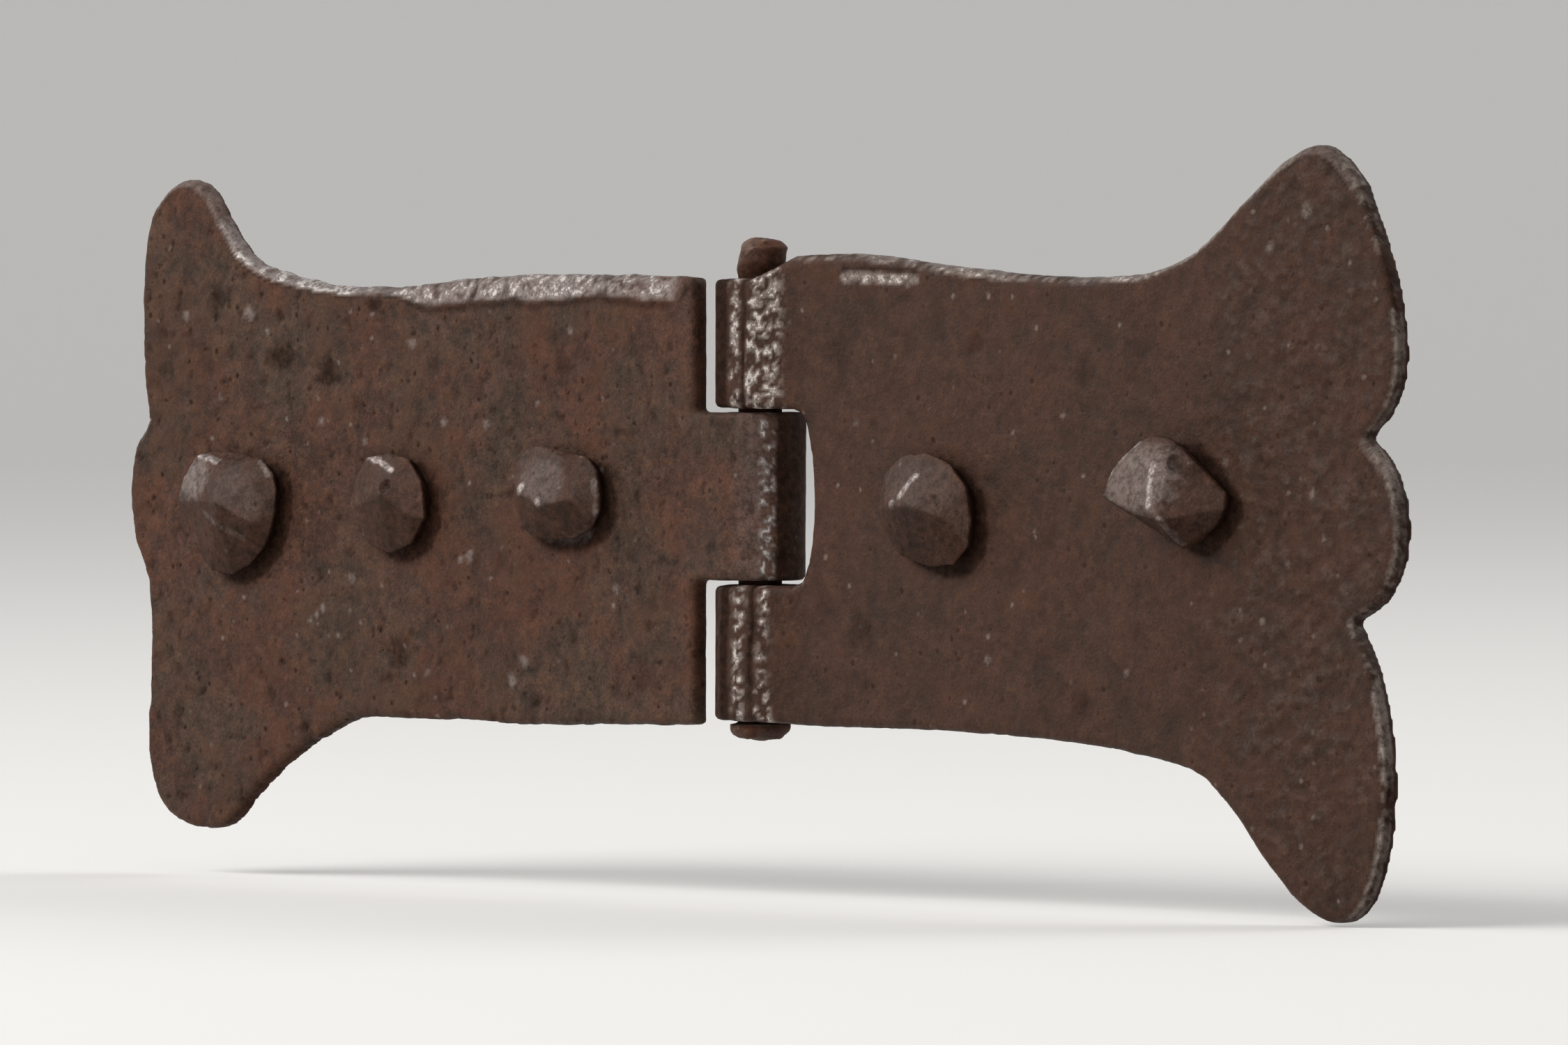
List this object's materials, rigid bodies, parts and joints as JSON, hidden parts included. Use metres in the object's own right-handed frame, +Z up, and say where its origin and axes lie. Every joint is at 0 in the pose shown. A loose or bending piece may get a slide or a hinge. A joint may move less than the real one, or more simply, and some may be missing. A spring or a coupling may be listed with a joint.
{
  "type": "forged leaf hinge",
  "caption": "Hand-forged iron leaf hinge for a cupboard door, with short fish-tailed leaves, knuckles rolled round an upright pin and rose-headed nails along the middle.",
  "frame": {"origin": "on the back of the frame leaf, halfway between its two nails", "axes": "+X along the frame leaf, away from the pin; +Y out of the leaves' backs, into the wood; +Z up, along the pin"},
  "size_m": [0.1874, 0.0343, 0.0747],
  "materials": {
    "frame_iron": "hammered wrought iron with a dark brown patina",
    "door_iron": "hammered wrought iron, rustier, with pits",
    "pin_iron": "worn wrought iron rod with rust",
    "nail_iron": "faceted by the hammer, worn bright on top"
  },
  "bodies": {
    "frame_side": {"frame_leaf": "frame_iron", "hinge_pin": "pin_iron", "frame_nail_inner": "nail_iron", "frame_nail_outer": "nail_iron"},
    "door_side": {"door_leaf": "door_iron", "door_nail_inner": "nail_iron", "door_nail_middle": "nail_iron", "door_nail_outer": "nail_iron"}
  },
  "joints": [
    {"name": "door_swing", "type": "hinge", "parent": "frame_side", "child": "door_side", "pos_m": [-0.0465, 0.0004, 0], "axis": [0, 0, 1], "range_deg": [0, 110]}
  ]
}
